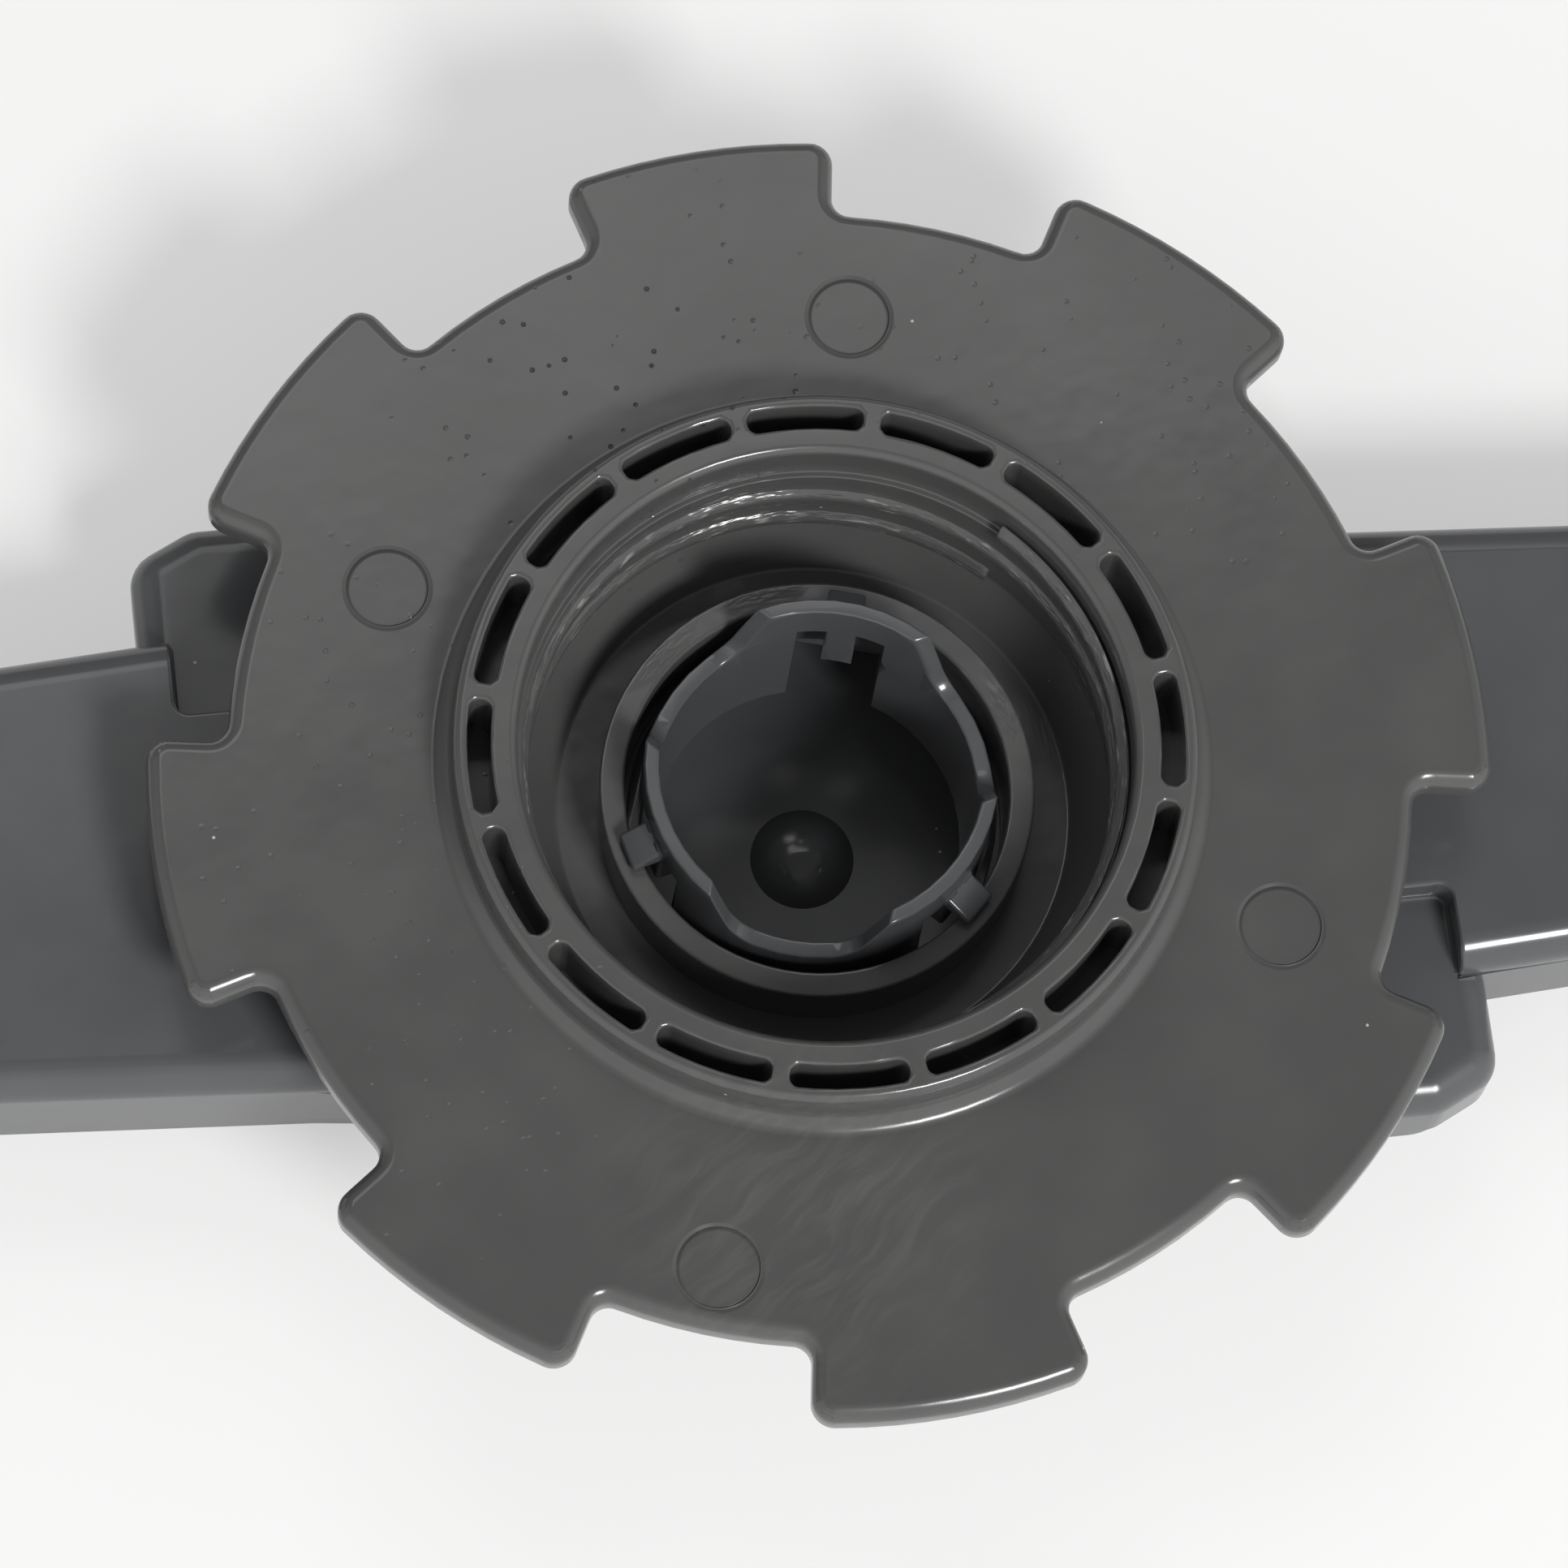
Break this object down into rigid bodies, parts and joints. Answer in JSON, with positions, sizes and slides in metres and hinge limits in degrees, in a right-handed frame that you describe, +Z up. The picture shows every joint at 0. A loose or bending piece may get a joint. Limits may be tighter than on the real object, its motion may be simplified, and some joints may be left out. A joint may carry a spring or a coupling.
{
  "type": "dishwasher spray arm",
  "caption": "Hollow dishwasher spray arm with tapered wings, a crowned inlet tube in the hub and a toothed mounting nut with inner thread that turns freely on the tube.",
  "frame": {"origin": "hub axis in the plane of the arm's flat underside", "axes": "+Z up along the hub axis towards the nut, +X along the wings"},
  "size_m": [0.396, 0.09, 0.0274],
  "materials": {
    "arm_plastic": "satin grey moulded polypropylene",
    "nut_plastic": "semi-gloss grey moulded polypropylene with a fine mottle"
  },
  "bodies": {
    "arm": {"upper_shell": "arm_plastic", "lower_shell": "arm_plastic"},
    "nut": {"mounting_nut": "nut_plastic"}
  },
  "joints": [
    {"name": "nut_turn", "type": "hinge", "parent": "arm", "child": "nut", "pos_m": [0, 0, 0.016], "axis": [0, 0, 1], "continuous": true}
  ]
}
